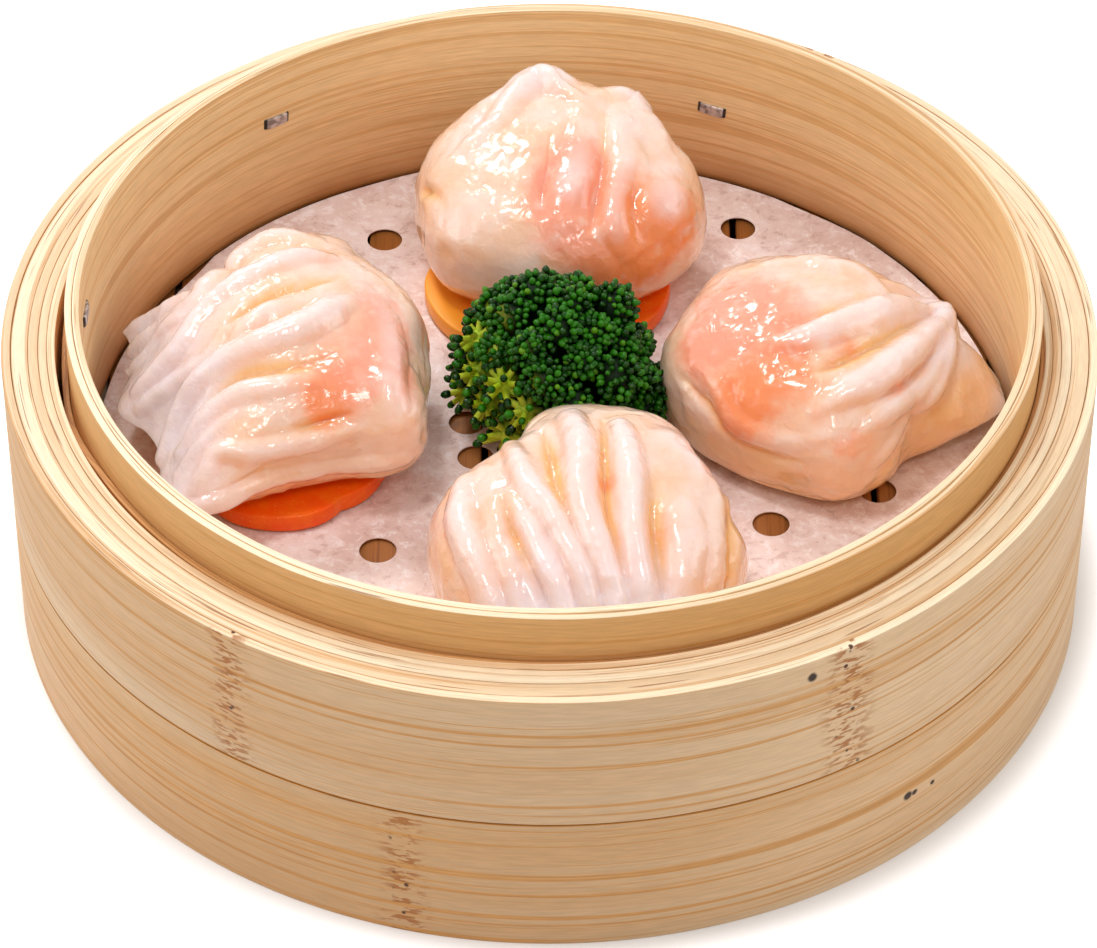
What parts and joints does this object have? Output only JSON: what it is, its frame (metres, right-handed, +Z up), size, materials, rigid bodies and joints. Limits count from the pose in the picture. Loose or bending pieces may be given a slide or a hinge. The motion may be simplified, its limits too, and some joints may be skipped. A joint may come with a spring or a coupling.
{
  "type": "har gow dumplings in a steamer basket",
  "caption": "Pleated translucent shrimp dumplings on a punched paper liner in a round bamboo steamer basket, with a broccoli floret and flower-cut carrot slices.",
  "frame": {"origin": "centre of the basket's foot, on the table", "axes": "+Z up, the front of the serving faces -Y, +X to its right"},
  "size_m": [0.17, 0.17, 0.057],
  "materials": {
    "bamboo": "raw pale bamboo, golden streaks along the strips, satin",
    "steaming_paper": "fibrous translucent steaming paper, damp",
    "dumpling_skin": "wet translucent wheat starch skin over orange-pink shrimp",
    "carrot": "cooked carrot, moist",
    "broccoli_green": "cooked green buds on yellow-green stems",
    "staple_steel": "dull wire"
  },
  "bodies": {
    "root": {"broccoli": "broccoli_green", "carrot_back": "carrot", "carrot_left": "carrot", "cross_bar_back": "bamboo", "cross_bar_front": "bamboo", "dumpling_back": "dumpling_skin", "dumpling_front": "dumpling_skin", "dumpling_left": "dumpling_skin", "dumpling_right": "dumpling_skin", "floor_slat_01": "bamboo", "floor_slat_02": "bamboo", "floor_slat_03": "bamboo", "floor_slat_04": "bamboo", "floor_slat_05": "bamboo", "floor_slat_06": "bamboo", "floor_slat_07": "bamboo", "floor_slat_08": "bamboo", "floor_slat_09": "bamboo", "floor_slat_10": "bamboo", "floor_slat_11": "bamboo", "floor_slat_12": "bamboo", "floor_slat_13": "bamboo", "floor_slat_14": "bamboo", "hoop_inner_ply": "bamboo", "hoop_outer_ply": "bamboo", "lower_hoop": "bamboo", "outer_band_lower": "bamboo", "outer_band_upper": "bamboo", "paper_liner": "steaming_paper", "staple_1": "staple_steel", "staple_2": "staple_steel", "staple_3": "staple_steel", "wrap_inner": "bamboo", "wrap_outer": "bamboo"}
  },
  "joints": []
}
